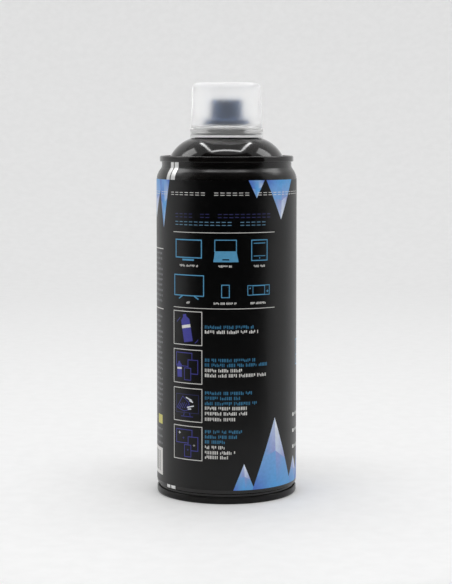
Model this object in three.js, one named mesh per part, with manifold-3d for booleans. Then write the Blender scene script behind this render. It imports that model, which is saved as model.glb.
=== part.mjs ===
// Necked-in tinplate aerosol can of lens and display cleaner: three-piece can, one-inch valve,
// push-button actuator and a small push-fit overcap. Millimetres, +Z up, front facing -Y,
// origin at the centre of the base. Every body is a round, hollow, separately named piece.
import * as THREE from 'three';
import { mergeVertices } from 'three/addons/utils/BufferGeometryUtils.js';
import Module from 'manifold-3d';

const wasm = await Module();
wasm.setup();

// ---- driving dimensions (mm) ----
const CAN_R = 32.5;             // outer radius of the straight body and of the base seam
const SEAM_TOP = 157.0;         // height of the can without valve and cap
const NECK_R = 30.12;           // outer radius of the necked-in part under the top seam
const BODY_T = 0.2;             // body tinplate
const END_T = 0.3;              // dome, base and valve cup tinplate
const PITCH = 0.31;             // spacing of the layers folded into a double seam
const TOP_CHUCK_R = 29.71;      // mid-wall radius of the top end inside its seam
const BASE_CHUCK_R = 31.11;     // mid-wall radius of the base end inside its seam
const TOP_SEAM_H = 2.7;
const BASE_SEAM_H = 3.1;
const LABEL = { inner: 32.55, outer: 32.65, z0: 6.3, z1: 146.4, gap: 0.8 };
const DOME = { r: 11.63, z: 149.57, radius: 16.05 };          // mid-wall arc of the dome
const CURL = { r: 14.0, z: 168.75, radius: 1.15 };            // rolled edge of the mouth
const CUP = { wall: 12.45, skirt: 15.85, top: 170.65, floor: 162.0 };
const PEDESTAL = { r: 5.95, top: 168.6, hole: 2.25 };
const HOUSING = { flange: 5.6, body: 4.6, cavity: 3.7, top: 167.25, floor: 157.0, tail: 149.0 };
const STEM = { r: 2.0, bore: 1.0, top: 176.0, shoulder: 3.4 };
const SPRING = { coil: 2.9, wire: 0.3, z0: 157.1, z1: 165.3, turns: 6 };
const TUBE = { outer: 2.0, inner: 1.5, top: 155.6 };
const BUTTON = { r: 7.45, flange: 10.5, z0: 171.4, shelf: 174.0, top: 183.0, nozzleZ: 179.0 };
const NOZZLE = { r: 2.2, x0: 3.5, x1: 7.2 };   // along the spray direction
const TO_FRONT = -Math.PI / 2;  // turns the button and nozzle, drawn facing +X, to the front
const CAP = { foot: 17.05, footTop: 169.5, low: 16.6, high: 16.0, z0: 165.4, top: 190.8, wall: 1.1 };
const BIG = 40;                 // sides of the large round bodies
const MID = 32;                 // sides of the valve cup, its gasket and the push button
const SMALL = 16;               // sides of the valve parts

// ---- geometry helpers ----

// Points on an arc in the (r, z) plane, both ends included; angles in degrees from +r.
function arc(r, z, radius, from, to, steps) {
  return Array.from({ length: steps + 1 }, (_, i) => {
    const a = THREE.MathUtils.degToRad(from + ((to - from) * i) / steps);
    return [r + radius * Math.cos(a), z + radius * Math.sin(a)];
  });
}

// Closed profile of formed sheet: the mid-wall line offset to both sides by half the thickness.
function sheet(line, t) {
  const side = (sign) => line.map((p, i) => {
    const dirs = [[line[i - 1], p], [p, line[i + 1]]].filter(([a, b]) => a && b)
      .map(([a, b]) => new THREE.Vector2(b[0] - a[0], b[1] - a[1]).normalize());
    const n = dirs.map((d) => new THREE.Vector2(-d.y, d.x));
    const mid = n.reduce((a, b) => a.clone().add(b)).normalize();
    const off = mid.multiplyScalar((sign * t) / 2 / mid.dot(n[0]));
    return [p[0] === 0 ? 0 : p[0] + off.x, p[1] + off.y];
  });
  return [...side(1), ...side(-1).reverse()];
}

// Body of revolution about +Z. The profile is a closed loop, which may run along the axis.
function turned(profile, sides = BIG) {
  const area = profile.reduce((s, p, i) => {
    const q = profile[(i + 1) % profile.length];
    return s + p[0] * q[1] - q[0] * p[1];
  }, 0);
  const loop = area < 0 ? [...profile].reverse() : profile;
  const onAxis = loop.findIndex((p, i) => p[0] === 0 && loop[(i + 1) % loop.length][0] === 0);
  const open = [...loop.slice(onAxis + 1), ...loop.slice(0, onAxis + 1)];
  if (onAxis < 0) open.push(open[0]);
  return new THREE.LatheGeometry(open.map(([r, z]) => new THREE.Vector2(r, z)), sides)
    .rotateX(Math.PI / 2);
}

const ring = (r0, r1, z0, z1, sides = BIG) =>
  turned([[r0, z0], [r1, z0], [r1, z1], [r0, z1]], sides);
const rod = (r, z0, z1, sides = SMALL) => turned([[0, z0], [r, z0], [r, z1], [0, z1]], sides);

function solid(geometry) {
  const g = geometry.index ? geometry.toNonIndexed() : geometry.clone();
  g.deleteAttribute('normal');
  g.deleteAttribute('uv');
  const m = mergeVertices(g, 1e-4);
  return new wasm.Manifold(new wasm.Mesh({
    numProp: 3,
    vertProperties: m.attributes.position.array,
    triVerts: new Uint32Array(m.index.array),
  }));
}

function surface(body) {
  const m = body.getMesh();
  return new THREE.BufferGeometry()
    .setAttribute('position', new THREE.BufferAttribute(new Float32Array(m.vertProperties), 3))
    .setIndex(new THREE.BufferAttribute(new Uint32Array(m.triVerts), 1));
}

const cut = (base, ...tools) => surface(tools.reduce((b, t) => b.subtract(solid(t)), solid(base)));

// ---- double seams ----
// A seam folds the end (outside) and the body (inside) into five layers. Offsets run outwards
// from the chuck wall; depth runs from the rim into the can. dir is +1 at the top, -1 at the base.
function doubleSeam(chuckR, rimZ, dir, height) {
  const at = (r, depth) => [chuckR + r, rimZ - dir * depth];
  const curl = (r, depth, a0, a1) => arc(0, 0, PITCH, a0, a1, 2).map(([x, y]) => at(r + x, depth - y));
  return {
    end: [at(2 * PITCH, 1.15), ...curl(3 * PITCH, height - 0.46, 180, 360),
      at(4 * PITCH, 0.77), at(1.09, 0.35), at(0.92, 0.15), at(0.32, 0.15), at(0.15, 0.35), at(0, 0.77)],
    body: [at(3 * PITCH, height - 0.6), ...curl(2 * PITCH, 1.06, 0, 180)],
    sealant: [at(0.44, 0.37), at(0.8, 0.37), at(0.8, 0.58), at(0.44, 0.58)],
  };
}
const topSeam = doubleSeam(TOP_CHUCK_R, SEAM_TOP, 1, TOP_SEAM_H);
const baseSeam = doubleSeam(BASE_CHUCK_R, 0, -1, BASE_SEAM_H);

// ---- the can ----
function canBody() {
  const wall = CAN_R - BODY_T / 2;
  const neck = NECK_R - BODY_T / 2;
  const line = [...topSeam.body, [neck, 152.2], [30.14, 151.75], [30.4, 151.2], [30.97, 150.4],
    [31.4, 149.8], [31.8, 148.95], [32.2, 148.0], [wall, 147.0], [wall, 6.0], [32.2, 5.3], [31.75, 4.75],
    [31.42, 4.2], ...[...baseSeam.body].reverse()];
  return turned(sheet(line, BODY_T));
}

function topDome() {
  const line = [...topSeam.end, [TOP_CHUCK_R, 153.5], [29.45, 152.85], [28.85, 152.45],
    [28.15, 152.45], [27.55, 152.8], ...arc(DOME.r, DOME.z, DOME.radius, 14, 78, 7),
    [13.6, 165.62], [12.85, 166.4], ...arc(CURL.r, CURL.z, CURL.radius, 180, -60, 6)];
  return turned(sheet(line, END_T));
}

function bottomDome() {
  const rise = 61.7;
  const line = [...baseSeam.end, [BASE_CHUCK_R, 3.0], [30.85, 3.7], [30.2, 4.1]];
  for (const r of [29.3, 24, 18, 12, 6, 0]) {
    line.push([r, 11.5 - rise + Math.sqrt(rise * rise - r * r)]);
  }
  return turned(sheet(line, END_T));
}

function labelWrap() {
  const { inner, outer, z0, z1, gap } = LABEL;
  const slit = new THREE.BoxGeometry(gap, 4, z1 - z0 + 10).translate(0, inner, (z0 + z1) / 2);
  return cut(ring(inner, outer, z0, z1), slit);
}

// ---- the valve ----
function valveCup() {
  const { wall, skirt, top, floor } = CUP;
  const p = PEDESTAL;
  return turned(sheet([[skirt, 167.3], [skirt, top - 0.75], [15.6, top - 0.2], [15.05, top],
    [13.2, top], [12.65, top - 0.2], [wall, top - 0.75], [wall, 166.1], [12.6, 165.6],
    [13.2, 165.0], [13.2, 164.4], [12.6, 163.6], [wall, 163.0], [12.2, floor + 0.4],
    [11.5, floor], [7.0, floor], [6.25, floor + 0.25], [p.r, floor + 0.8], [p.r, 163.2],
    [5.1, 163.9], [p.r, 164.6], [p.r, p.top - 0.3], [p.r - 0.3, p.top], [p.hole, p.top]], END_T), MID);
}

function valveHousing() {
  const h = HOUSING;
  return turned([[0.8, h.tail], [1.2, h.tail], [1.45, h.tail + 1], [1.45, 156], [h.body, 156],
    [h.body, 164.72], [h.flange, 164.72], [h.flange, h.top], [h.cavity, h.top],
    [h.cavity, h.floor], [0.8, h.floor]], SMALL);
}

// Stem with its central bore and the side orifice that the gasket covers when the valve is shut.
function valveStem() {
  const { r, bore, top, shoulder } = STEM;
  const blank = turned([[0, 162.6], [1.4, 162.6], [1.9, 163.2], [1.9, 165.4], [shoulder, 165.4],
    [shoulder, 167.0], [3.1, 167.25], [r, 167.25], [r, top], [0, top]], SMALL);
  const orifice = new THREE.CylinderGeometry(0.35, 0.35, 3, 12).rotateZ(Math.PI / 2)
    .translate(1.5, 0, 167.85);
  return cut(blank, rod(bore, 167.5, top + 1, SMALL), orifice);
}

class Coil extends THREE.Curve {
  getPoint(t, target = new THREE.Vector3()) {
    const a = 2 * Math.PI * SPRING.turns * t;
    const z = SPRING.z0 + SPRING.wire + (SPRING.z1 - SPRING.z0 - 2 * SPRING.wire) * t;
    return target.set(SPRING.coil * Math.cos(a), SPRING.coil * Math.sin(a), z);
  }
}

const swept = (shape, extrudePath, steps, curveSegments) =>
  new THREE.ExtrudeGeometry(shape, { steps, curveSegments, bevelEnabled: false, extrudePath });

function valveSpring() {
  const wire = new THREE.Shape().absarc(0, 0, SPRING.wire, 0, 2 * Math.PI);
  return swept(wire, new Coil(), 12 * SPRING.turns, 3);
}

// Soft tube hanging from the housing and curving to the foot of the wall.
function dipTube() {
  const path = new THREE.CubicBezierCurve3(new THREE.Vector3(0, 0, TUBE.top),
    new THREE.Vector3(0, 0, 110), new THREE.Vector3(-3, 0, 45), new THREE.Vector3(21.5, 0, 11.5));
  const section = new THREE.Shape().absarc(0, 0, TUBE.outer, 0, 2 * Math.PI);
  section.holes.push(new THREE.Path().absarc(0, 0, TUBE.inner, 0, 2 * Math.PI, true));
  return swept(section, path, 16, 7);
}

// ---- push button and nozzle ----
function actuator() {
  const b = BUTTON;
  const blank = turned([[0, b.z0], [b.flange, b.z0], [b.flange, b.shelf - 0.5],
    [b.flange - 0.5, b.shelf], [b.r, b.shelf], [b.r, b.top - 0.7], [b.r - 0.7, b.top], [0, b.top]], MID);
  const skirt = ring(4.2, b.flange - 1, b.z0 - 1, b.shelf - 1, MID);
  const socket = rod(STEM.r + 0.1, b.z0 - 1, STEM.top + 0.1);
  const riser = rod(1.0, STEM.top - 1, b.nozzleZ, 16);
  const channel = new THREE.CylinderGeometry(1.0, 1.0, 5, 16).rotateZ(Math.PI / 2)
    .translate(1.5, 0, b.nozzleZ);
  const pocket = new THREE.CylinderGeometry(NOZZLE.r + 0.1, NOZZLE.r + 0.1, 6, SMALL)
    .rotateZ(Math.PI / 2).translate(NOZZLE.x0 - 0.1 + 3, 0, b.nozzleZ);
  // Finger pad: the top edge falls away at the back of the button, opposite the nozzle.
  const pad = new THREE.BoxGeometry(12, 30, 6).translate(-6, 0, 3)
    .rotateY(-THREE.MathUtils.degToRad(50)).translate(-4.9, 0, b.top);
  return cut(blank, skirt, socket, riser, channel, pocket, pad).rotateZ(TO_FRONT);
}

function nozzleInsert() {
  const { r, x0, x1 } = NOZZLE;
  return turned([[1.2, x0], [r, x0], [r, x1 - 0.3], [r - 0.3, x1], [0.8, x1], [0.35, x1 - 0.35],
    [0.35, x1 - 1], [1.2, x1 - 1]], SMALL).rotateY(Math.PI / 2).translate(0, 0, BUTTON.nozzleZ)
    .rotateZ(TO_FRONT);
}

// ---- overcap ----
function overcap() {
  const c = CAP;
  const corner = arc(c.high - 3, c.top - 3, 3, 0, 90, 4);
  return turned([[16.15, c.z0], [c.foot - 0.25, c.z0], [c.foot, c.z0 + 0.25], [c.foot, c.footTop - 0.2],
    [c.low, c.footTop + 0.2], ...corner, [0, c.top], [0, c.top - c.wall],
    ...arc(c.high - 3, c.top - 3, 3 - c.wall, 90, 0, 3), [c.low - 1.35, CUP.top + 0.3],
    [16.15, CUP.top + 0.3]]);
}

// ---- assembly ----
const group = new THREE.Group();
group.name = 'lens_spray_can';

function place(name, geometry, color, { metalness = 0, roughness = 0.5, opacity = 1 } = {}) {
  const material = new THREE.MeshStandardMaterial({ color, metalness, roughness, opacity });
  material.transparent = opacity < 1;
  const mesh = new THREE.Mesh(geometry, material);
  mesh.name = name;
  group.add(mesh);
}

const TIN = { metalness: 1, roughness: 0.3 };
const LACQUER = { metalness: 0.2, roughness: 0.25 };
place('can_body', canBody(), 0x15161a, LACQUER);
place('top_dome', topDome(), 0x15161a, LACQUER);
place('bottom_dome', bottomDome(), 0xb4b6b8, TIN);
place('top_seam_sealant', turned(topSeam.sealant), 0x8f8a7d, { roughness: 0.8 });
place('bottom_seam_sealant', turned(baseSeam.sealant), 0x8f8a7d, { roughness: 0.8 });
place('label_wrap', labelWrap(), 0x101216, { roughness: 0.35 });
place('valve_cup', valveCup(), 0xc8cacc, TIN);
place('cup_gasket', ring(13.25, 14.8, 170.1, 170.45, MID), 0x24262a, { roughness: 0.8 });
place('valve_housing', valveHousing(), 0xe6e6e2);
place('stem_gasket', ring(STEM.r + 0.05, 5.5, 167.35, 168.35, SMALL), 0x1d1e20, { roughness: 0.8 });
place('valve_spring', valveSpring(), 0xc0c2c4, TIN);
place('valve_stem', valveStem(), 0xe9e9e4);
place('dip_tube', dipTube(), 0xe3e7e8, { roughness: 0.4, opacity: 0.7 });
place('actuator', actuator(), 0x3d4458, { roughness: 0.4 });
place('nozzle_insert', nozzleInsert(), 0x2b3040, { roughness: 0.4 });
place('overcap', overcap(), 0xf2f3f3, { roughness: 0.45, opacity: 0.5 });

export default group;
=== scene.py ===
"""Looks of the aerosol can: fine sheet-metal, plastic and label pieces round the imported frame."""
import math
import random

import bmesh
import bpy
import numpy as np
from mathutils import Matrix, Vector
from mathutils.geometry import delaunay_2d_cdt


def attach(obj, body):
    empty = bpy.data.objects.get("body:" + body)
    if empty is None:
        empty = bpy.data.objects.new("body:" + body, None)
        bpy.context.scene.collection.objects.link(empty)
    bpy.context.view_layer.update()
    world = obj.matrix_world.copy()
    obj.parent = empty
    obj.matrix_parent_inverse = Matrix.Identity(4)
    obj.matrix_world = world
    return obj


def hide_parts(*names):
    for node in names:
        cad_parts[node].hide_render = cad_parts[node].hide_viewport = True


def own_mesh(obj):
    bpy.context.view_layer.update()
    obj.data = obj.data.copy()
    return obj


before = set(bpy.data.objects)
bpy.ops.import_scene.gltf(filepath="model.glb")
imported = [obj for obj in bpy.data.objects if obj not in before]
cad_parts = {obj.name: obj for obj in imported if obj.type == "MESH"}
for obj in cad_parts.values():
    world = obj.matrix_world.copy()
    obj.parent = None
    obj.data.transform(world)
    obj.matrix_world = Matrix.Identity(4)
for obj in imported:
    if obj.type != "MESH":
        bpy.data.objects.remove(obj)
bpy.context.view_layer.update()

MM = 0.001
RING = 160            # steps round a large turned piece
WALL, END_SHEET = 0.2, 0.3          # sheet thickness of the can wall, and of the ends and the valve cup
CAP_FOOT, CAP_TOP = 165.4, 190.8    # heights of the overcap's two ends

# ------------------------------------------------------------------ shape helpers (millimetres)


def arc(r, z, radius, start, end, steps):
    """Points of an arc in the (r, z) plane, both ends included; degrees from +r."""
    angles = [math.radians(start + (end - start) * i / steps) for i in range(steps + 1)]
    return [(r + radius * math.cos(a), z + radius * math.sin(a)) for a in angles]


def rounded(points, radius, steps=4):
    """The open line with each inner corner turned into a small curve."""
    out = [points[0]]
    for a, b, c in zip(points, points[1:], points[2:]):
        pa, pb, pc = Vector(a), Vector(b), Vector(c)
        da, dc = pa - pb, pc - pb
        cut = min(radius, 0.45 * da.length, 0.45 * dc.length)
        p0, p2 = pb + da.normalized() * cut, pb + dc.normalized() * cut
        for i in range(steps + 1):
            t = i / steps
            out.append(tuple(p0 * (1 - t) ** 2 + pb * (2 * t * (1 - t)) + p2 * t * t))
    out.append(points[-1])
    return out


def sheet(line, thick):
    """Closed profile of formed sheet: the mid-wall line offset to both sides."""
    def side(sign):
        made = []
        for i, p in enumerate(line):
            ends = [(line[j], line[j + 1]) for j in (i - 1, i) if 0 <= j and j + 1 < len(line)]
            normals = []
            for a, b in ends:
                d = Vector((b[0] - a[0], b[1] - a[1])).normalized()
                normals.append(Vector((-d.y, d.x)))
            mid = sum(normals, Vector((0, 0))).normalized()
            off = mid * (sign * thick / 2 / max(0.4, mid.dot(normals[0])))
            made.append((0.0 if p[0] == 0 else p[0] + off.x, p[1] + off.y))
        return made
    return side(1) + side(-1)[::-1]


def even_angles(steps=RING):
    return [2 * math.pi * i / steps for i in range(steps)]


def mesh_object(name, verts, faces, materials, smooth_deg=35, slots=None):
    """A closed mesh in metres from millimetre points, with outward normals and crisp edges kept."""
    mesh = bpy.data.meshes.new(name)
    mesh.from_pydata([[c * MM for c in v] for v in verts], [], faces)
    for mat in materials:
        mesh.materials.append(mat)
    if slots:
        mesh.polygons.foreach_set("material_index", slots)
    obj = bpy.data.objects.new(name, mesh)
    bpy.context.scene.collection.objects.link(obj)
    bm = bmesh.new()
    bm.from_mesh(mesh)
    bmesh.ops.remove_doubles(bm, verts=bm.verts, dist=1e-7)
    bmesh.ops.recalc_face_normals(bm, faces=bm.faces)
    bm.to_mesh(mesh)
    bm.free()
    mesh.polygons.foreach_set("use_smooth", [True] * len(mesh.polygons))
    mesh.set_sharp_from_angle(angle=math.radians(smooth_deg))
    return obj


def turned(name, profile, materials, angles=None, pick=None):
    """Body of revolution about Z from a closed profile; pick(angle, height) chooses a cell's material."""
    angles = angles or even_angles()
    n, m = len(angles), len(profile)
    verts = [(r * math.sin(a), -r * math.cos(a), z) for a in angles for r, z in profile]
    faces, slots = [], []
    for i in range(n):
        j = (i + 1) % n
        mid = (angles[i] + (angles[j] if j else angles[i] + 2 * math.pi - angles[-1] + angles[0])) / 2
        for k in range(m):
            k2 = (k + 1) % m
            if profile[k][0] == 0 and profile[k2][0] == 0:
                continue
            quad = [i * m + k, j * m + k, j * m + k2, i * m + k2]
            if profile[k][0] == 0:
                quad = [quad[0], quad[2], quad[3]]
            elif profile[k2][0] == 0:
                quad = quad[:3]
            faces.append(quad)
            slots.append(pick(mid, (profile[k][1] + profile[k2][1]) / 2) if pick else 0)
    return mesh_object(name, verts, faces, materials, slots=slots)


# ------------------------------------------------------------------ materials


def srgb(r, g, b):
    """Linear colour from 0-255 display values."""
    return tuple(((c / 255 + 0.055) / 1.055) ** 2.4 if c > 10 else c / 255 / 12.92 for c in (r, g, b))


def material(name, color, rough, metallic=0.0, **extra):
    mat = bpy.data.materials.new(name)
    mat.use_nodes = True
    shader = mat.node_tree.nodes["Principled BSDF"]
    shader.inputs["Base Color"].default_value = (*color, 1)
    shader.inputs["Roughness"].default_value = rough
    shader.inputs["Metallic"].default_value = metallic
    for key, value in extra.items():
        shader.inputs[key.replace("_", " ")].default_value = value
    return mat


def noise(mat, scale, stretch=(1, 1, 1), detail=4.0, rough=0.55):
    """A noise field in the part's own coordinates; stretch squeezes it along an axis."""
    nodes, links = mat.node_tree.nodes, mat.node_tree.links
    coord, mapping = nodes.new("ShaderNodeTexCoord"), nodes.new("ShaderNodeMapping")
    mapping.inputs["Scale"].default_value = stretch
    tex = nodes.new("ShaderNodeTexNoise")
    tex.inputs["Scale"].default_value = scale
    tex.inputs["Detail"].default_value = detail
    tex.inputs["Roughness"].default_value = rough
    links.new(coord.outputs["Object"], mapping.inputs["Vector"])
    links.new(mapping.outputs["Vector"], tex.inputs["Vector"])
    return tex.outputs["Fac"]


def spread(mat, field, low, high, socket):
    """Maps a field onto a float socket between low and high."""
    nodes, links = mat.node_tree.nodes, mat.node_tree.links
    fit = nodes.new("ShaderNodeMapRange")
    fit.inputs["From Min"].default_value = 0.3
    fit.inputs["From Max"].default_value = 0.7
    fit.inputs["To Min"].default_value = low
    fit.inputs["To Max"].default_value = high
    links.new(field, fit.inputs["Value"])
    links.new(fit.outputs["Result"], nodes["Principled BSDF"].inputs[socket])


def two_tone(mat, field, dark, light, low=0.35, high=0.65):
    """Colours the surface between two tones by a field."""
    nodes, links = mat.node_tree.nodes, mat.node_tree.links
    ramp = nodes.new("ShaderNodeValToRGB")
    ramp.color_ramp.elements[0].position, ramp.color_ramp.elements[1].position = low, high
    ramp.color_ramp.elements[0].color = (*dark, 1)
    ramp.color_ramp.elements[1].color = (*light, 1)
    links.new(field, ramp.inputs["Fac"])
    links.new(ramp.outputs["Color"], nodes["Principled BSDF"].inputs["Base Color"])


def bumps(mat, field, strength, depth):
    nodes, links = mat.node_tree.nodes, mat.node_tree.links
    bump = nodes.new("ShaderNodeBump")
    bump.inputs["Strength"].default_value = strength
    bump.inputs["Distance"].default_value = depth
    links.new(field, bump.inputs["Height"])
    links.new(bump.outputs["Normal"], nodes["Principled BSDF"].inputs["Normal"])


def lacquer_material(name, low, high, ior=1.5):
    """Black can lacquer; low and high bound its roughness."""
    mat = material(name, (0.003, 0.003, 0.003), high, IOR=ior)
    two_tone(mat, noise(mat, 90), (0.0022, 0.0018, 0.0016), (0.0046, 0.0038, 0.0034))
    spread(mat, noise(mat, 600), low, high, "Roughness")
    bumps(mat, noise(mat, 900, detail=2), 0.03, 0.00002)
    return mat


def tin_material(name, shade=0.72, low=0.18, high=0.34, grain=(1, 1, 40)):
    mat = material(name, (shade, shade, shade * 0.98), 0.25, 1.0)
    two_tone(mat, noise(mat, 160, grain), (shade * 0.86,) * 3, (shade, shade, shade * 0.985))
    spread(mat, noise(mat, 420, grain), low, high, "Roughness")
    bumps(mat, noise(mat, 700, grain), 0.08, 0.00002)
    return mat


def plastic_material(name, dark, light, low, high, grain=1400, strength=0.12):
    mat = material(name, light, high)
    two_tone(mat, noise(mat, 120), dark, light)
    spread(mat, noise(mat, 380), low, high, "Roughness")
    bumps(mat, noise(mat, grain, detail=2), strength, 0.00003)
    return mat


def frosted_material():
    """Milky plastic with a faint painted glow: an even emission standing in for light scattered inside it. It
    scatters most where it is thick: at the foot, the ledge and the top edge.
    """
    # Emission Strength 0.024 is painted light: the cap glows faintly all over, in place of light scattered
    # inside the plastic.
    mat = material("frosted_plastic", srgb(255, 255, 255), 0.62, IOR=1.14, Transmission_Weight=0.96,
                   Emission_Color=(1, 1, 1, 1), Emission_Strength=0.024,
                   Coat_Weight=0.15, Coat_Roughness=0.35, Sheen_Weight=0.9, Sheen_Roughness=0.3)
    two_tone(mat, noise(mat, 60), srgb(254, 254, 254), srgb(255, 255, 255))
    spread(mat, noise(mat, 900), 0.58, 0.66, "Roughness")
    bumps(mat, noise(mat, 2600, detail=2), 0.15, 0.00002)
    nodes, links = mat.node_tree.nodes, mat.node_tree.links
    coord, split = nodes.new("ShaderNodeTexCoord"), nodes.new("ShaderNodeSeparateXYZ")
    height = nodes.new("ShaderNodeMapRange")
    height.inputs["From Min"].default_value = CAP_FOOT * MM
    height.inputs["From Max"].default_value = CAP_TOP * MM
    clear = nodes.new("ShaderNodeValToRGB")
    # how far up the cap each stop lies, from 0 to 1, and how much light passes there
    stops = [(0.0, 0.35), (0.03, 0.35), (0.05, 0.96), (0.14, 0.96), (0.155, 0.8), (0.21, 0.8), (0.225, 0.965),
             (0.84, 0.965), (0.92, 0.84), (1.0, 0.66)]
    while len(clear.color_ramp.elements) < len(stops):
        clear.color_ramp.elements.new(0.5)
    for stop, (place, value) in zip(clear.color_ramp.elements, stops):
        stop.position, stop.color = place, (value, value, value, 1)
    links.new(coord.outputs["Object"], split.inputs["Vector"])
    links.new(split.outputs["Z"], height.inputs["Value"])
    links.new(height.outputs["Result"], clear.inputs["Fac"])
    links.new(clear.outputs["Color"], nodes["Principled BSDF"].inputs["Transmission Weight"])
    return mat


def label_material():
    """Printed film: the ink colours sit on the mesh, under a thin uneven gloss."""
    mat = material("label_film", (0.001, 0.001, 0.001), 0.36, IOR=1.42)
    nodes, links = mat.node_tree.nodes, mat.node_tree.links
    ink = nodes.new("ShaderNodeAttribute")
    ink.attribute_name = "ink"
    mix = nodes.new("ShaderNodeMix")
    mix.data_type = "RGBA"
    mix.blend_type = "MULTIPLY"
    mix.inputs[0].default_value = 1.0
    ramp = nodes.new("ShaderNodeValToRGB")
    ramp.color_ramp.elements[0].position, ramp.color_ramp.elements[1].position = 0.35, 0.65
    ramp.color_ramp.elements[0].color = (0.9, 0.9, 0.9, 1)
    ramp.color_ramp.elements[1].color = (1, 1, 1, 1)
    links.new(noise(mat, 700), ramp.inputs["Fac"])
    links.new(ink.outputs["Color"], mix.inputs["A"])
    links.new(ramp.outputs["Color"], mix.inputs["B"])
    links.new(mix.outputs["Result"], nodes["Principled BSDF"].inputs["Base Color"])
    spread(mat, noise(mat, 900), 0.34, 0.39, "Roughness")
    bumps(mat, noise(mat, 1200, detail=2), 0.05, 0.00001)
    return mat


LACQUER = lacquer_material("black_lacquer", 0.22, 0.27)
GLOSS_LACQUER = lacquer_material("gloss_lacquer", 0.08, 0.12)
BASE_LACQUER = lacquer_material("base_lacquer", 0.2, 0.27, 1.32)
TIN = tin_material("tinplate", 0.66, 0.12, 0.22)
WELD_MARGIN = tin_material("bare_margin", 0.8, 0.3, 0.42, (1, 1, 1))
WELD_LINE = tin_material("weld_line", 0.16, 0.4, 0.6, (1, 1, 8))
SPRING_STEEL = tin_material("spring_steel", 0.6, 0.2, 0.35, (1, 1, 1))
SEALANT = plastic_material("sealant", srgb(150, 146, 132), srgb(172, 168, 152), 0.6, 0.8)
RUBBER = plastic_material("gasket_rubber", srgb(26, 26, 28), srgb(40, 40, 43), 0.6, 0.8)
WHITE = plastic_material("white_plastic", srgb(222, 222, 216), srgb(236, 236, 231), 0.3, 0.45)
TUBE = plastic_material("tube_plastic", srgb(214, 219, 220), srgb(232, 236, 237), 0.25, 0.4)
BUTTON = plastic_material("button_plastic", srgb(30, 78, 128), srgb(36, 88, 140), 0.34, 0.46)
FROSTED = frosted_material()
LABEL = label_material()

# ------------------------------------------------------------------ the can

PITCH = 0.31          # from one layer of metal in a double seam to the next


def double_seam(chuck, rim, up, height):
    """Mid-wall lines of the end and the body folded into a seam, each from its hook inwards."""
    def at(r, depth):
        return (chuck + r, rim - up * depth)

    def curl(r, depth, a0, a1):
        return [at(r + x, depth - y) for x, y in arc(0, 0, PITCH, a0, a1, 8)]
    end = [at(2 * PITCH, 1.15), *curl(3 * PITCH, height - 0.46, 180, 360)]
    end += rounded([at(4 * PITCH, 1.0), at(4 * PITCH, 0.77), at(1.09, 0.35), at(0.92, 0.15), at(0.32, 0.15),
                    at(0.15, 0.35), at(0, 0.77), at(0, 1.0)], 0.2, 3)
    body = [at(3 * PITCH, height - 0.6), *curl(2 * PITCH, 1.06, 0, 180)]
    return end, body


TOP_END, TOP_BODY = double_seam(chuck=29.71, rim=157.0, up=1, height=2.7)
BASE_END, BASE_BODY = double_seam(chuck=31.11, rim=0.0, up=-1, height=3.1)

CAN_R = 32.5
GROOVE_TOP = 4.7      # the bare weld ends here, over the groove above the base seam
WELD = {"left": -32.5, "line0": -30.0, "line1": -29.1, "right": -26.2}   # along the wall from the front


def can_body():
    """The welded wall: its neck under the top seam, the straight body and the groove over the base seam."""
    neck = [(30.02, 152.2), (30.14, 151.75), (30.4, 151.2), (30.97, 150.4), (31.4, 149.8), (31.8, 148.95),
            (32.2, 148.0), (32.4, 147.0)]
    groove = [(32.4, 5.0), (32.2, GROOVE_TOP), (31.8, 4.5), (31.42, 4.3)]
    middle = rounded([TOP_BODY[-1], *neck, *groove, BASE_BODY[-1]], 1.2, 3)
    line = [*TOP_BODY[:-1], *middle, *BASE_BODY[:-1][::-1]]
    marks = [WELD[k] / CAN_R % (2 * math.pi) for k in ("left", "line0", "line1", "right")]
    too_near = 0.008      # radians: an even step this close to a weld mark gives way to it
    angles = [a for a in even_angles() if all(abs(a - m) > too_near for m in marks)]
    angles = sorted(angles + marks)

    def pick(a, z):
        if z < GROOVE_TOP:
            return 0
        if marks[1] < a < marks[2]:
            return 2
        return 1 if marks[0] < a < marks[3] else 0
    obj = turned("can_wall", sheet(line, WALL), [LACQUER, WELD_MARGIN, WELD_LINE], angles, pick)
    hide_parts("can_body")
    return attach(obj, "can")


def top_dome():
    """The top end, from its seam hook down the chuck wall and up the dome to the rolled mouth."""
    dome = arc(11.63, 149.57, 16.05, 14, 78, 28)
    foot = rounded([(29.71, 155.0), (29.71, 153.5), (29.45, 152.85), (28.85, 152.45), (28.15, 152.45),
                    (27.55, 152.8), dome[0]], 0.8, 4)
    neck = rounded([dome[-1], (13.6, 165.62), (12.85, 166.4), (12.85, 168.75)], 0.9, 4)
    line = [*TOP_END, *foot, *dome[1:-1], *neck, *arc(14.0, 168.75, 1.15, 180, -60, 14)[1:]]
    obj = turned("dome", sheet(line, END_SHEET), [GLOSS_LACQUER])
    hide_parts("top_dome")
    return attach(obj, "can")


def bottom_dome():
    """The bottom end, from its seam hook to the crown of a shallow bowl that rises inside the can."""
    crown, bowl_r = 11.5, 61.7
    bowl = [(r, crown - bowl_r + math.sqrt(bowl_r * bowl_r - r * r)) for r in (29.3, *range(27, -1, -3))]
    foot = rounded([(31.11, 2.0), (31.11, 3.0), (30.85, 3.7), (30.2, 4.1), bowl[0]], 0.5, 4)
    obj = turned("base", sheet([*BASE_END, *foot[1:], *bowl[1:]], END_SHEET), [BASE_LACQUER])
    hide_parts("bottom_dome")
    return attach(obj, "can")


# ------------------------------------------------------------------ valve, button and cap


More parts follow.
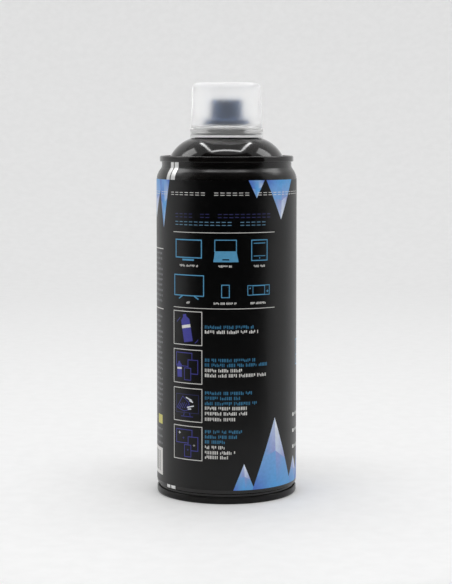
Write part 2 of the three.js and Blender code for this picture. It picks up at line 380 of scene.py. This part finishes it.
def valve_cup():
    """The mounting cup, from its curl over the mouth down to the floor and up the pedestal to the stem."""
    curl = [(15.3, 166.9), (15.7, 167.4), (15.85, 168.3), (15.85, 169.2), (15.6, 170.1), (15.05, 170.65),
            (13.2, 170.65), (12.65, 170.45), (12.45, 169.9)]
    floor = [(12.45, 166.1), (12.6, 165.6), (13.2, 165.0), (13.2, 164.4), (12.6, 163.6), (12.45, 163.0),
             (12.2, 162.4), (11.5, 162.0), (7.0, 162.0)]
    pedestal = [(6.25, 162.25), (5.95, 162.8), (5.95, 163.2), (5.1, 163.9), (5.95, 164.6), (5.95, 168.3),
                (5.65, 168.6), (2.25, 168.6)]
    line = rounded([*curl, *floor, *pedestal], 0.5, 4)
    obj = turned("mounting_cup", sheet(line, END_SHEET), [TIN])
    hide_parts("valve_cup")
    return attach(obj, "can")


def valve_stem():
    outline = [(0, 162.6), (1.4, 162.6), (1.9, 163.2), (1.9, 165.4), (3.4, 165.4), (3.4, 167.0),
               (3.1, 167.25), (2.0, 167.25), (2.0, 175.85), (1.85, 176.0), (1.1, 176.0), (1.0, 175.9),
               (1.0, 167.5), (0, 167.5)]
    obj = turned("stem", outline, [WHITE], even_angles(48))
    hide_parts("valve_stem")
    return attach(obj, "stem")


def valve_spring():
    """Round wire wound in six even turns."""
    turns, steps, sides = 6, 36, 10
    wire, coil, z0, z1 = 0.3, 2.9, 157.1, 165.3     # radius of the wire and of the coil, and its two ends
    rise = (z1 - z0) / (2 * math.pi * turns)
    verts, faces, n = [], [], turns * steps
    for i in range(n + 1):
        t = i / n
        a = 2 * math.pi * turns * t
        radial = Vector((math.cos(a), math.sin(a), 0))
        along = Vector((-math.sin(a) * coil, math.cos(a) * coil, rise)).normalized()
        up = radial.cross(along).normalized()
        centre = radial * coil + Vector((0, 0, z0 + wire + (z1 - z0 - 2 * wire) * t))
        for k in range(sides):
            b = 2 * math.pi * k / sides
            verts.append(tuple(centre + (radial * math.cos(b) + up * math.sin(b)) * wire))
    for i in range(n):
        for k in range(sides):
            k2 = (k + 1) % sides
            faces.append([i * sides + k, i * sides + k2, (i + 1) * sides + k2, (i + 1) * sides + k])
    faces += [list(range(sides))[::-1], list(range(n * sides, (n + 1) * sides))]
    obj = mesh_object("return_spring", verts, faces, [SPRING_STEEL], 60)
    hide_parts("valve_spring")
    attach(obj, "can")
    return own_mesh(obj)


def cylinder(radius, length, centre, along="Z", steps=64):
    """A round cutter about its centre, with its axis along Z, X or Y."""
    quarter = math.pi / 2
    turns = {"Z": Matrix(), "X": Matrix.Rotation(quarter, 4, "Y"), "Y": Matrix.Rotation(quarter, 4, "X")}
    bm = bmesh.new()
    bmesh.ops.create_cone(bm, cap_ends=True, segments=steps, radius1=radius * MM, radius2=radius * MM,
                          depth=length * MM, matrix=Matrix.Translation(Vector(centre) * MM) @ turns[along])
    mesh = bpy.data.meshes.new("cutter")
    bm.to_mesh(mesh)
    bm.free()
    obj = bpy.data.objects.new("cutter", mesh)
    bpy.context.scene.collection.objects.link(obj)
    return obj


def carve(obj, cutters):
    """Subtracts the cutters from obj and keeps the result as a plain mesh."""
    for c in cutters:
        mod = obj.modifiers.new("cut", "BOOLEAN")
        mod.operation, mod.solver, mod.object = "DIFFERENCE", "EXACT", c
    graph = bpy.context.evaluated_depsgraph_get()
    made = bpy.data.meshes.new_from_object(obj.evaluated_get(graph))
    obj.modifiers.clear()
    obj.data = made
    for c in cutters:
        bpy.data.objects.remove(c, do_unlink=True)
    made.polygons.foreach_set("use_smooth", [True] * len(made.polygons))
    made.set_sharp_from_angle(angle=math.radians(40))


TO_FRONT = Matrix.Rotation(-math.pi / 2, 4, "Z")   # the button and nozzle are drawn facing +X


def actuator():
    """Push button: round head on a thin flange, hollow underneath, with the finger pad cut at the back."""
    top, nozzle_z = 183.0, 179.0
    outline = rounded([(0, 171.4), (10.5, 171.4), (10.5, 173.5), (10.0, 174.0), (7.95, 174.0), (7.45, 174.4),
                       (7.45, 182.3), (6.75, top), (0, top)], 0.35, 4)
    obj = turned("push_button", outline, [BUTTON], even_angles(96))
    hollow = turned("cutter", [(4.2, 170.4), (9.5, 170.4), (9.5, 173.0), (4.2, 173.0)], [], even_angles(96))
    stem_seat = cylinder(2.1, 6.7, (0, 0, 172.75))
    riser = cylinder(1.0, 5, (0, 0, 176.5), steps=32)
    channel = cylinder(1.0, 5, (1.5, 0, nozzle_z), "X", 32)
    nozzle_seat = cylinder(2.3, 6, (6.4, 0, nozzle_z), "X")
    # The pad is hollowed by a wide roller lying across the button's back edge.
    roller, lean = 9.0, math.radians(50)
    across = -4.9 - 1.275 - roller * math.sin(lean) + 0.33
    above = top - 1.52 + roller * math.cos(lean) - 0.27
    pad = cylinder(roller, 40, (across, 0, above), "Y", 96)
    carve(obj, [hollow, stem_seat, riser, channel, nozzle_seat, pad])
    obj.data.transform(TO_FRONT)
    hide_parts("actuator")
    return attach(obj, "spray_button")


def nozzle_insert():
    """The insert, drawn upright about its own axis and then laid down in the button's recess."""
    outline = [(1.2, 3.5), (2.2, 3.5), (2.2, 6.95), (2.1, 7.12), (1.9, 7.2), (0.85, 7.2), (0.72, 7.14),
               (0.4, 6.85), (0.35, 6.75), (0.35, 6.2), (1.2, 6.2)]
    obj = turned("nozzle", outline, [BUTTON], even_angles(48))
    obj.data.transform(TO_FRONT @ Matrix.Translation((0, 0, 0.179)) @ Matrix.Rotation(math.pi / 2, 4, "Y"))
    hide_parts("nozzle_insert")
    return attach(obj, "spray_button")


def overcap():
    """The cap: a grooved foot band, a ledge and a slightly tapered wall with a rounded top edge."""
    low, high, top, wall, edge = 16.6, 16.0, CAP_TOP, 1.1, 3
    outer = rounded([(16.15, CAP_FOOT), (17.05, CAP_FOOT), (17.05, 166.15), (16.88, 166.4), (16.88, 167.1),
                     (16.74, 167.25), (16.88, 167.4), (16.88, 168.1), (16.74, 168.25), (16.88, 168.4),
                     (16.88, 169.0), (17.05, 169.2), (low, 169.75), (high, top - edge)], 0.25, 4)
    outer += arc(high - edge, top - edge, edge, 0, 90, 14)[1:]
    inner = [(high - edge, top - wall), *arc(high - edge, top - edge, edge - wall, 90, 0, 10)[1:],
             (low - 1.35, 170.95)]
    inner = rounded([*inner, (16.15, 170.95), (16.15, 166.0)], 0.2, 3)
    obj = turned("cap", [*outer, (0, top), (0, top - wall), *inner], [FROSTED])
    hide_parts("overcap")
    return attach(obj, "cap")


# ------------------------------------------------------------------ the printed label
# The label lies flat as (s, z): s runs along the wall from the front, z is the height, both in mm.

LABEL_R, LABEL_IN, LABEL_Z0, LABEL_Z1 = 32.65, 32.55, 6.3, 146.4
HALF = math.pi * LABEL_R - 0.4

INK = {
    "film": srgb(3, 3, 4), "white": srgb(222, 221, 218), "grey": srgb(120, 122, 126),
    "teal": srgb(80, 150, 190), "text_blue": srgb(54, 120, 158), "indigo": srgb(66, 66, 154),
    "deep": srgb(46, 48, 98), "head": srgb(92, 134, 162), "yellow": srgb(206, 200, 96),
    "lilac": srgb(146, 156, 212), "mist": srgb(190, 206, 234), "sky": srgb(82, 162, 226),
    "ice": srgb(116, 166, 222), "blue": srgb(76, 116, 202), "snow": srgb(232, 236, 242),
}
art = []          # (ink or per-corner inks, polygon), later ones on top


def put(ink, points):
    art.append((ink, [(round(s, 3), round(z, 3)) for s, z in points]))


def rect(ink, s0, z0, s1, z1):
    put(ink, [(s0, z0), (s1, z0), (s1, z1), (s0, z1)])


def frame_line(ink, s0, z0, s1, z1, w, inside="film"):
    rect(ink, s0, z0, s1, z1)
    rect(inside, s0 + w, z0 + w, s1 - w, z1 - w)


def stroke(ink, a, b, w):
    d = (Vector(b) - Vector(a)).normalized() * (w / 2)
    n = Vector((-d.y, d.x))
    a, b = Vector(a), Vector(b)
    put(ink, [tuple(a - n), tuple(b - n), tuple(b + n), tuple(a + n)])


def disc(ink, s, z, r, steps=16):
    put(ink, [(s + r * math.cos(2 * math.pi * i / steps), z + r * math.sin(2 * math.pi * i / steps))
              for i in range(steps)])


def copy_line(ink, s0, s1, z, height, seed):
    """A row of small ticks grouped like words, standing where the print has a line of copy."""
    draw = random.Random(seed)
    pitch, w = height * 0.52, height * 0.24
    s, left = s0, draw.randint(3, 10)
    while s + w <= s1 + 0.01:
        kind = draw.choice("tall tall tall low high".split())
        rect(ink, s, z - height * (0.2 if kind == "high" else 0.5), s + w * draw.choice((1, 1.3)),
             z + height * (0.2 if kind == "low" else 0.5))
        left -= 1
        s += pitch
        if left == 0:
            s += pitch
            left = draw.randint(3, 10)


def heading(ink, s0, s1, z, height, words):
    """A spaced row of double dashes in groups, filling s0 to s1."""
    cell = (s1 - s0) / (sum(words) + 1.2 * (len(words) - 1))
    s, w = s0, height * 0.2
    for count in words:
        for _ in range(count):
            rect(ink, s, z - height / 2, s + cell * 0.68, z - height / 2 + w)
            rect(ink, s, z + height / 2 - w, s + cell * 0.68, z + height / 2)
            s += cell
        s += cell * 1.2


def devices():
    """Two rows of device pictograms."""
    frame_line("teal", -25.6, 111.3, -11.3, 119.8, 0.5)
    rect("teal", -21.5, 110.15, -15.2, 110.95)
    frame_line("teal", -5.5, 114.3, 4.6, 119.9, 0.4)
    put("teal", [(-6.0, 109.8), (5.4, 109.8), (4.5, 114.5), (-5.3, 114.5)])
    rect("film", -1.9, 110.6, 1.2, 111.2)
    frame_line("teal", 11.3, 110.2, 19.6, 119.8, 0.42)
    rect("teal", 12.5, 118.0, 18.4, 118.35)
    rect("teal", 12.5, 112.3, 18.4, 112.6)
    disc("teal", 15.45, 111.5, 0.3, 10)
    frame_line("teal", -26.5, 94.1, -10.3, 103.8, 0.45)
    stroke("teal", (-21.4, 94.2), (-23.6, 92.8), 0.55)
    stroke("teal", (-15.2, 94.2), (-13.0, 92.8), 0.55)
    frame_line("teal", -2.4, 93.7, 1.4, 99.7, 0.36)
    frame_line("teal", 9.5, 94.7, 20.8, 99.3, 0.32)
    frame_line("teal", 12.0, 94.9, 18.2, 99.1, 0.26)
    disc("teal", 10.8, 97.9, 0.3, 10)
    stroke("teal", (19.0, 96.4), (20.2, 96.4), 0.3)
    stroke("teal", (19.6, 95.8), (19.6, 97.0), 0.3)
    for s0, s1, z in ((-23.0, -13.2, 107.9), (-3.6, 2.6, 107.9), (12.6, 18.5, 107.9),
                      (-19.2, -17.4, 91.2), (-5.8, 4.7, 91.2), (11.0, 19.3, 91.2)):
        copy_line("white", s0, s1, z, 1.0, int(s0 * 10 + z))


def spray_can(ink, s, z, size, lean, band="white"):
    """A plain leaning can: body, shoulder, cap and a band, drawn from its foot."""
    turn = Matrix.Rotation(math.radians(lean), 2)

    def at(x, y):
        v = turn @ Vector((x * size, y * size))
        return (s + v.x, z + v.y)
    put(ink, [at(-1, 0), at(1, 0), at(1, 4.25), at(-1, 4.25)])
    put(ink, [at(-1, 4.25), at(1, 4.25), at(0.5, 4.8), at(-0.5, 4.8)])
    put(ink, [at(-0.42, 4.8), at(0.42, 4.8), at(0.38, 5.35), at(-0.38, 5.35)])
    put(band, [at(-1, 2.7), at(1, 2.7), at(1, 3.3), at(-1, 3.3)])


def spark(ink, s, z, r):
    put(ink, [(s + (r if i % 2 == 0 else r * 0.22) * math.cos(math.pi * i / 4),
               z + (r if i % 2 == 0 else r * 0.22) * math.sin(math.pi * i / 4)) for i in range(8)])


def screens(dz):
    """The group of outlined screens shared by two of the step pictures."""
    frame_line("indigo", -25.4, 62.0 + dz, -16.2, 68.4 + dz, 0.32)
    frame_line("indigo", -18.6, 58.7 + dz, -13.2, 65.3 + dz, 0.32)
    frame_line("indigo", -20.6, 55.8 + dz, -16.8, 61.5 + dz, 0.3)


def steps():
    """Four boxed pictures, each with its block of copy."""
    for z0, z1 in ((71.8, 87.3), (54.3, 69.9), (36.9, 52.3), (19.4, 35.0)):
        frame_line("white", -27.0, z0, -11.2, z1, 0.32)
    spray_can("indigo", -18.2, 73.4, 2.35, 10)
    for k in (0, 1):
        stroke("indigo", (-23.8 - k, 83.2 - k), (-22.8 - k, 84.2 - k), 0.3)
        stroke("indigo", (-14.8 + k, 72.9 + k * 0.8), (-13.8 + k * 0.6, 73.8 + k * 0.8), 0.3)
    screens(0)
    spray_can("indigo", -23.2, 57.0, 1.35, 2)
    # a cloth held against a screen: outlines, hatching and four pale fingers
    frame_line("deep", -25.4, 40.8, -12.9, 49.4, 0.25)
    cloth = [(-24.8, 43.0), (-21.4, 48.4), (-18.0, 45.6), (-17.4, 42.6), (-20.6, 41.6), (-24.8, 43.0)]
    for a, b in zip(cloth, cloth[1:]):
        stroke("indigo", a, b, 0.26)
    for k in range(5):
        stroke("indigo", (-23.9 + 1.1 * k, 42.9), (-22.5 + 1.1 * k, 45.6 - 0.3 * abs(k - 2)), 0.24)
    for a, b in (((-19.6, 48.0), (-16.4, 46.7)), ((-17.8, 46.6), (-15.8, 45.9)),
                 ((-18.9, 43.4), (-15.4, 44.3)), ((-18.6, 42.7), (-16.8, 42.8))):
        stroke("snow", a, b, 0.5)
    stroke("indigo", (-20.6, 40.8), (-20.9, 39.5), 0.26)
    stroke("indigo", (-17.6, 40.8), (-17.3, 39.5), 0.26)
    rect("indigo", -22.4, 39.1, -15.8, 39.35)
    screens(-35.1)
    spark("snow", -23.3, 31.6, 0.9)
    spark("indigo", -21.0, 29.3, 0.8)
    spark("white", -15.3, 26.2, 0.7)
    spark("indigo", -18.6, 24.0, 0.7)
    rows = (("text_blue", 80.5, 13.0), ("white", 78.3, 15.3),
            ("text_blue", 65.5, 13.3), ("text_blue", 63.3, 20.0), ("white", 60.9, 7.2), ("white", 58.6, 18.6),
            ("text_blue", 50.6, 11.8), ("text_blue", 48.3, 7.3), ("text_blue", 45.9, 14.8),
            ("white", 43.7, 10.5), ("white", 41.3, 9.3), ("white", 38.7, 3.9),
            ("text_blue", 33.0, 7.5), ("text_blue", 30.7, 5.2), ("text_blue", 28.4, -0.3),
            ("white", 25.9, -0.7), ("white", 23.5, 4.0), ("white", 21.4, 2.0))
    for ink, z, end in rows:
        copy_line(ink, -9.9, end, z, 1.5, int(z * 10))


PALE_ICE = ("mist ice lilac", "snow mist lilac", "ice blue sky ice", "lilac sky sky ice")
DEEP_ICE = ("ice lilac sky", "mist sky ice", "blue blue ice sky", "sky ice blue mist")


def crystal(s, z, half, rise, inks):
    """A plain crystal on the line z: straight flanks, a ridge and a waist. A negative rise hangs it."""
    tip, foot, heart = (s, z + rise), (s + 0.1 * half, z), (s + 0.05 * half, z + 0.52 * rise)
    left, right = (s - half, z), (s + half, z)
    left_waist, right_waist = (s - 0.55 * half, z + 0.45 * rise), (s + 0.62 * half, z + 0.38 * rise)
    put(inks[0], [tip, left_waist, heart])
    put(inks[1], [tip, heart, right_waist])
    put(inks[2], [left_waist, left, foot, heart])
    put(inks[3], [heart, foot, right, right_waist])


def shards():
    """Rows of plain crystals, hanging from the label's top edge and standing on its foot."""
    for s, half, length, inks in ((-60, 10, 14, DEEP_ICE), (-46, 10, 18, PALE_ICE), (-35, 5, 22, DEEP_ICE),
                                  (14, 4, 8, DEEP_ICE), (28, 9, 18, PALE_ICE)):
        crystal(s, LABEL_Z1, half, -length, inks)
    for s, half, height, inks in ((8, 5, 12, PALE_ICE), (40, 7, 12, PALE_ICE), (67, 9, 12, DEEP_ICE),
                                  (52, 10, 22, DEEP_ICE), (24, 12, 32, PALE_ICE)):
        crystal(s, LABEL_Z0, half, height, inks)


def side_panels():
    """Copy and plain blocks on the left, notes and two small frames on the right, rows at the back."""
    for z in (114.6, 86.9):
        rect("white", -62.0, z - 0.2, -35.6, z + 0.2)
    draw = random.Random(7)
    z = 112.4
    while z > 42:
        if abs(z - 86.9) > 1.4:
            copy_line("grey", -62.0, draw.choice((-36.2, -36.2, -37.0, -38.4)), z, 1.1, int(z * 7))
        z -= 2.42
    rect("yellow", -42.4, 33.4, -37.0, 37.6)
    copy_line("grey", -62.0, -43.6, 35.5, 1.2, 5)
    for z in (30.8, 27.6, 24.4):
        copy_line("grey", -62.0, -36.6, z, 1.1, int(z))
    rect("white", -62.0, 9.6, -36.8, 22.2)
    draw, s = random.Random(3), -60.6
    while s < -39.5:
        w = draw.choice((0.35, 0.5, 0.8, 1.1))
        rect("film", s, 11.2, s + w, 20.6)
        s += w + draw.choice((0.45, 0.7, 1.0))
    for z in (37.5, 30.0, 22.5):
        rect("white", 39.2, z - 0.8, 41.2, z + 0.8)
        copy_line("white", 42.6, 60.0, z, 1.3, int(z * 3))
    # back panel: a ruled table of copy
    for k in range(15):
        z = 120 - 6.4 * k
        rect("deep", 68.0, z - 3.4, 98.0, z - 3.2)
        copy_line("grey", 68.0, 80.0, z, 1.3, 40 + k)
        copy_line("white", 84.0, 98.0, z, 1.3, 80 + k)
        copy_line("grey", -98.0, -70.0, z, 1.2, 120 + k)
    for s in (48.0, 58.0):
        frame_line("teal", s - 4, 60.0, s + 4, 72.0, 0.5)
        disc("teal", s, 62.2, 0.6)
        rect("teal", s - 2.6, 64.4, s + 2.6, 64.8)


def front_copy():
    heading("white", -49.0, -31.5, 140.3, 1.3, (5, 3))
    heading("white", -28.6, 45.4, 140.3, 1.3, (7, 6, 11))
    heading("deep", -25.7, 22.0, 130.5, 1.8, (4, 2, 10))
    heading("head", -25.7, 19.3, 127.0, 1.7, (11, 5))
    rect("white", -27.0, 122.8, 23.7, 123.05)
    rect("white", -27.0, 88.65, 23.8, 88.9)


def covered(ring, s, z):
    """Even-odd test of many points in one polygon."""
    hit = np.zeros(len(s), bool)
    for (x0, y0), (x1, y1) in zip(ring, ring[1:] + ring[:1]):
        if y0 != y1:
            hit ^= ((y0 > z) != (y1 > z)) & (s < x0 + (z - y0) * (x1 - x0) / (y1 - y0))
    return hit


def ink_at(shape, p):
    """The print's colour at a point: one ink, or the corner inks of a facet blended by distance."""
    inks, ring = shape
    names = inks.split()
    if len(names) == 1:
        return INK[inks]
    weights = [1 / ((p[0] - s) ** 2 + (p[1] - z) ** 2 + 0.05) for s, z in ring]
    return tuple(sum(w * INK[k][c] for w, k in zip(weights, names)) / sum(weights) for c in range(3))


def label_bands(art_at_edge):
    """Heights that cut the label into bands without crossing any printed shape."""
    cuts, reach = [LABEL_Z0], LABEL_Z0
    for low, high in sorted((min(z for _, z in ring), max(z for _, z in ring)) for ring in art_at_edge):
        if low > reach + 0.1 and reach - cuts[-1] > 3:
            cuts.append(round((low + reach) / 2, 3))
        reach = max(reach, high)
    return [*cuts, LABEL_Z1]


def divided(rings, z0, z1, columns=180):
    """Triangles of one band of the label, divided along the rings and into narrow columns."""
    points = [Vector(p) for p in ((-HALF, z0), (HALF, z0), (HALF, z1), (-HALF, z1))]
    edges, faces = [], [[0, 1, 2, 3]]
    for ring in rings:
        faces.append(list(range(len(points), len(points) + len(ring))))
        points.extend(Vector(p) for p in ring)
    for i in range(1, columns):
        s = -HALF + 2 * HALF * i / columns
        points.extend((Vector((s, z0)), Vector((s, z1))))
        edges.append((len(points) - 2, len(points) - 1))
    flat, _, tris, *_ = delaunay_2d_cdt(points, edges, faces, 1, 1e-4, False)
    return flat, tris


def ink_layers(tris, flat, shapes):
    """The topmost shape over each triangle, counted from 1, or 0 for the bare film."""
    middle = np.array([[sum(flat[v][c] for v in t) / 3 for c in (0, 1)] for t in tris])
    order = np.argsort(middle[:, 0])
    across = middle[order, 0]
    top = np.zeros(len(tris), int)
    for k, (_, ring) in enumerate(shapes):
        near = order[np.searchsorted(across, min(ring)[0]):np.searchsorted(across, max(ring)[0])]
        top[near[covered(ring, middle[near, 0], middle[near, 1])]] = k + 1
    return top


def twice_area(points, tri):
    """Twice the signed area of a flat triangle, above zero where it runs anticlockwise."""
    (ax, ay), (bx, by), (cx, cy) = (points[v] for v in tri)
    return (bx - ax) * (cy - ay) - (cx - ax) * (by - ay)


def printed_side(shapes):
    """Flat points, triangles and corner colours of the label's outer face, cut along the print."""
    places, index, outer, colors = [], {}, [], []
    cuts = label_bands([ring for _, ring in shapes])
    for z0, z1 in zip(cuts, cuts[1:]):
        inside = [shape for shape in shapes if z0 <= sum(z for _, z in shape[1]) / len(shape[1]) <= z1]
        flat, tris = divided([ring for _, ring in inside], z0, z1)
        for tri, layer in zip(tris, ink_layers(tris, flat, inside)):
            ordered = [tuple(flat[v]) for v in (tri if twice_area(flat, tri) > 0 else tri[::-1])]
            keys = [(round(s, 3), round(z, 3)) for s, z in ordered]
            if len(set(keys)) < 3:      # a sliver that closes up when its corners meet
                continue
            colors += [ink_at(inside[layer - 1], p) if layer else INK["film"] for p in ordered]
            for key, p in zip(keys, ordered):
                if key not in index:
                    index[key] = len(places)
                    places.append(p)
            outer.append([index[key] for key in keys])
    return places, outer, colors


def plain_side(places, outer):
    """The inner face over the rim of the printed side, and the narrow faces that join the two."""
    rim = {(a, b) for t in outer for a, b in zip(t, t[1:] + t[:1])}
    rim = [(a, b) for a, b in rim if (b, a) not in rim]
    n = len(places)
    inner_of = {v: n + k for k, v in enumerate(sorted({a for a, _ in rim}))}
    back, _, tris, *_ = delaunay_2d_cdt([Vector(places[v]) for v in inner_of],
                                        [tuple(inner_of[v] - n for v in e) for e in rim], [], 1, 1e-6, False)
    inner = [[v + n for v in (tri if twice_area(back, tri) < 0 else tri[::-1])] for tri in tris]
    sides = [[b, a, inner_of[a], inner_of[b]] for a, b in rim]
    return inner_of, inner, sides


def paint(mesh, colors):
    """Stores the print's colours on the first corners of the mesh and the bare film on the rest."""
    tint = np.tile(np.array([*INK["film"], 1.0]), (len(mesh.loops), 1))
    tint[:len(colors), :3] = colors
    mesh.color_attributes.new("ink", "FLOAT_COLOR", "CORNER").data.foreach_set("color", tint.ravel())


def round_normals(mesh, outer_count, inner_count):
    """Turns the normals of both round faces along the radius and leaves the narrow faces flat."""
    where = np.zeros(len(mesh.loops), int)
    mesh.loops.foreach_get("vertex_index", where)
    place = np.zeros(len(mesh.vertices) * 3)
    mesh.vertices.foreach_get("co", place)
    normal = place.reshape(-1, 3)[where] * (1, 1, 0)
    normal /= np.linalg.norm(normal, axis=1)[:, None]
    normal[3 * outer_count:] *= -1
    for p in list(mesh.polygons)[outer_count + inner_count:]:
        normal[p.loop_start:p.loop_start + p.loop_total] = p.normal
    mesh.polygons.foreach_set("use_smooth", [True] * len(mesh.polygons))
    mesh.normals_split_custom_set(normal.tolist())


def printed_label():
    """One thin sleeve with its outer face divided along the edges of the print."""
    shards(), front_copy(), devices(), steps(), side_panels()
    shapes = [(ink, [(max(-HALF, min(HALF, s)), max(LABEL_Z0, min(LABEL_Z1, z))) for s, z in ring])
              for ink, ring in art]
    places, outer, colors = printed_side(shapes)
    inner_of, inner, sides = plain_side(places, outer)

    def wrap(p, r):
        a = p[0] / LABEL_R
        return (r * math.sin(a) * MM, -r * math.cos(a) * MM, p[1] * MM)
    mesh = bpy.data.meshes.new("label")
    mesh.from_pydata([wrap(p, LABEL_R) for p in places] + [wrap(places[v], LABEL_IN) for v in inner_of], [],
                     outer + inner + sides)
    mesh.materials.append(LABEL)
    mesh.update()
    paint(mesh, colors)
    round_normals(mesh, len(outer), len(inner))
    obj = bpy.data.objects.new("label", mesh)
    bpy.context.scene.collection.objects.link(obj)
    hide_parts("label_wrap")
    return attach(obj, "can")


# ------------------------------------------------------------------ studio


def panel_light(name, place, target, size, radiance, reflected=True, lights=True):
    """A rectangular light of the given brightness at place, aimed at target."""
    data = bpy.data.lights.new(name, "AREA")
    data.shape, data.size, data.size_y = "RECTANGLE", size[0], size[1]
    data.energy = math.pi * size[0] * size[1] * radiance
    obj = bpy.data.objects.new(name, data)
    obj.location = place
    obj.rotation_euler = (Vector(target) - Vector(place)).to_track_quat("-Z", "Y").to_euler()
    bpy.context.scene.collection.objects.link(obj)
    obj.visible_camera = False
    obj.visible_glossy, obj.visible_diffuse = reflected, lights


def stage_mesh(name, verts, faces, mat):
    mesh = bpy.data.meshes.new(name)
    mesh.from_pydata(verts, [], faces)
    mesh.polygons.foreach_set("use_smooth", [True] * len(faces))
    mesh.materials.append(mat)
    obj = bpy.data.objects.new(name, mesh)
    bpy.context.scene.collection.objects.link(obj)
    return obj


def backdrop():
    """Pale floor that sweeps up into a wall all round the can."""
    flat, sweep, wall, top, bends, steps = 0.9, 0.8, 1.7, 1.5, 20, 64     # metres, then counts
    line = [(r, 0.0) for r in (0.0, 0.3, 0.6, flat)]
    for k in range(1, bends + 1):
        a = math.pi / 2 * k / bends
        line.append((flat + sweep * math.sin(a), sweep - sweep * math.cos(a)))
    line.append((wall, top))
    n = len(line)
    verts = [(r * math.cos(2 * math.pi * i / steps), r * math.sin(2 * math.pi * i / steps), z)
             for i in range(steps) for r, z in line]
    faces = [[i * n + k, i * n + k + 1, (i + 1) % steps * n + k + 1, (i + 1) % steps * n + k]
             for i in range(steps) for k in range(n - 1)]
    paper = plastic_material("backdrop", srgb(240, 240, 240), srgb(243, 243, 243), 0.55, 0.65, 40, 0.0)
    paper.node_tree.nodes["Principled BSDF"].inputs["Specular IOR Level"].default_value = 0.2
    stage_mesh("backdrop", verts, faces, paper)


def dark_side():
    """The unlit room in front of the table. It is only there to be reflected: the camera looks past it."""
    line = [(0.17, 0.004), (0.40, 0.03), (0.56, 0.12)] + [tuple(p) for p in arc(0.0, 0.15, 0.6, 0, 58, 12)]
    half, steps = math.radians(66), 24
    verts = []
    for i in range(steps + 1):
        a = half * (2 * i / steps - 1)
        verts += [(r * math.sin(a), -r * math.cos(a), z) for r, z in line]
    n = len(line)
    faces = [[i * n + k, (i + 1) * n + k, (i + 1) * n + k + 1, i * n + k + 1]
             for i in range(steps) for k in range(n - 1)]
    card = stage_mesh("dark_side", verts, faces, material("dark_room", (0.004, 0.004, 0.004), 1.0))
    card.visible_camera = card.visible_shadow = card.visible_diffuse = False


def camera():
    """A long lens in front of the can, level with the foot of the cap and looking slightly down."""
    data = bpy.data.cameras.new("camera")
    data.sensor_width, data.lens = 36.0, 101.3
    data.shift_x, data.shift_y = -0.0010, -0.1011
    data.clip_start, data.clip_end = 0.05, 20
    obj = bpy.data.objects.new("camera", data)
    obj.location = (0, -0.76584, 0.16906)
    obj.rotation_euler = (math.radians(90 - 3.598), 0, 0)
    bpy.context.scene.collection.objects.link(obj)
    bpy.context.scene.camera = obj


def studio():
    """A light frame over the can, a soft box at each side, a fill overhead and a wash on the wall."""
    world = bpy.data.worlds.new("studio")
    bpy.context.scene.world = world
    world.use_nodes = True
    world.node_tree.nodes["Background"].inputs["Color"].default_value = (1.0, 1.0, 1.0, 1)
    world.node_tree.nodes["Background"].inputs["Strength"].default_value = 0.55
    for side, x in (("left", -0.27), ("right", 0.25)):
        panel_light("frame_" + side, (x, 0.16, 0.8), (x, 0.16, 0), (0.04, 0.60), 11, lights=False)
    panel_light("frame_front", (-0.01, -0.17, 0.8), (-0.01, -0.17, 0), (0.52, 0.07), 11)
    for side, x in (("left", -0.58), ("right", 0.58)):
        panel_light("soft_box_" + side, (x, 0.16, 0.66), (0, 0, 0.15), (0.30, 0.30), 3.2, lights=False)
    panel_light("fill", (0, 0.2, 1.7), (0, 0.2, 0), (1.4, 1.2), 2.1, reflected=False)
    panel_light("wall_wash", (0, 0.5, 1.1), (0, 1.7, 0.6), (1.8, 0.3), 0.1, reflected=False)
    bpy.context.scene.view_settings.view_transform = "Standard"


camera()
can_body()
top_dome()
bottom_dome()
valve_cup()
valve_stem()
valve_spring()
actuator()
nozzle_insert()
overcap()
printed_label()
for node, finish in (("top_seam_sealant", SEALANT), ("bottom_seam_sealant", SEALANT), ("cup_gasket", RUBBER),
                     ("valve_housing", WHITE), ("stem_gasket", RUBBER), ("dip_tube", TUBE)):
    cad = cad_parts[node]
    for cell in cad.material_slots:
        cell.material = finish
backdrop()
dark_side()
studio()
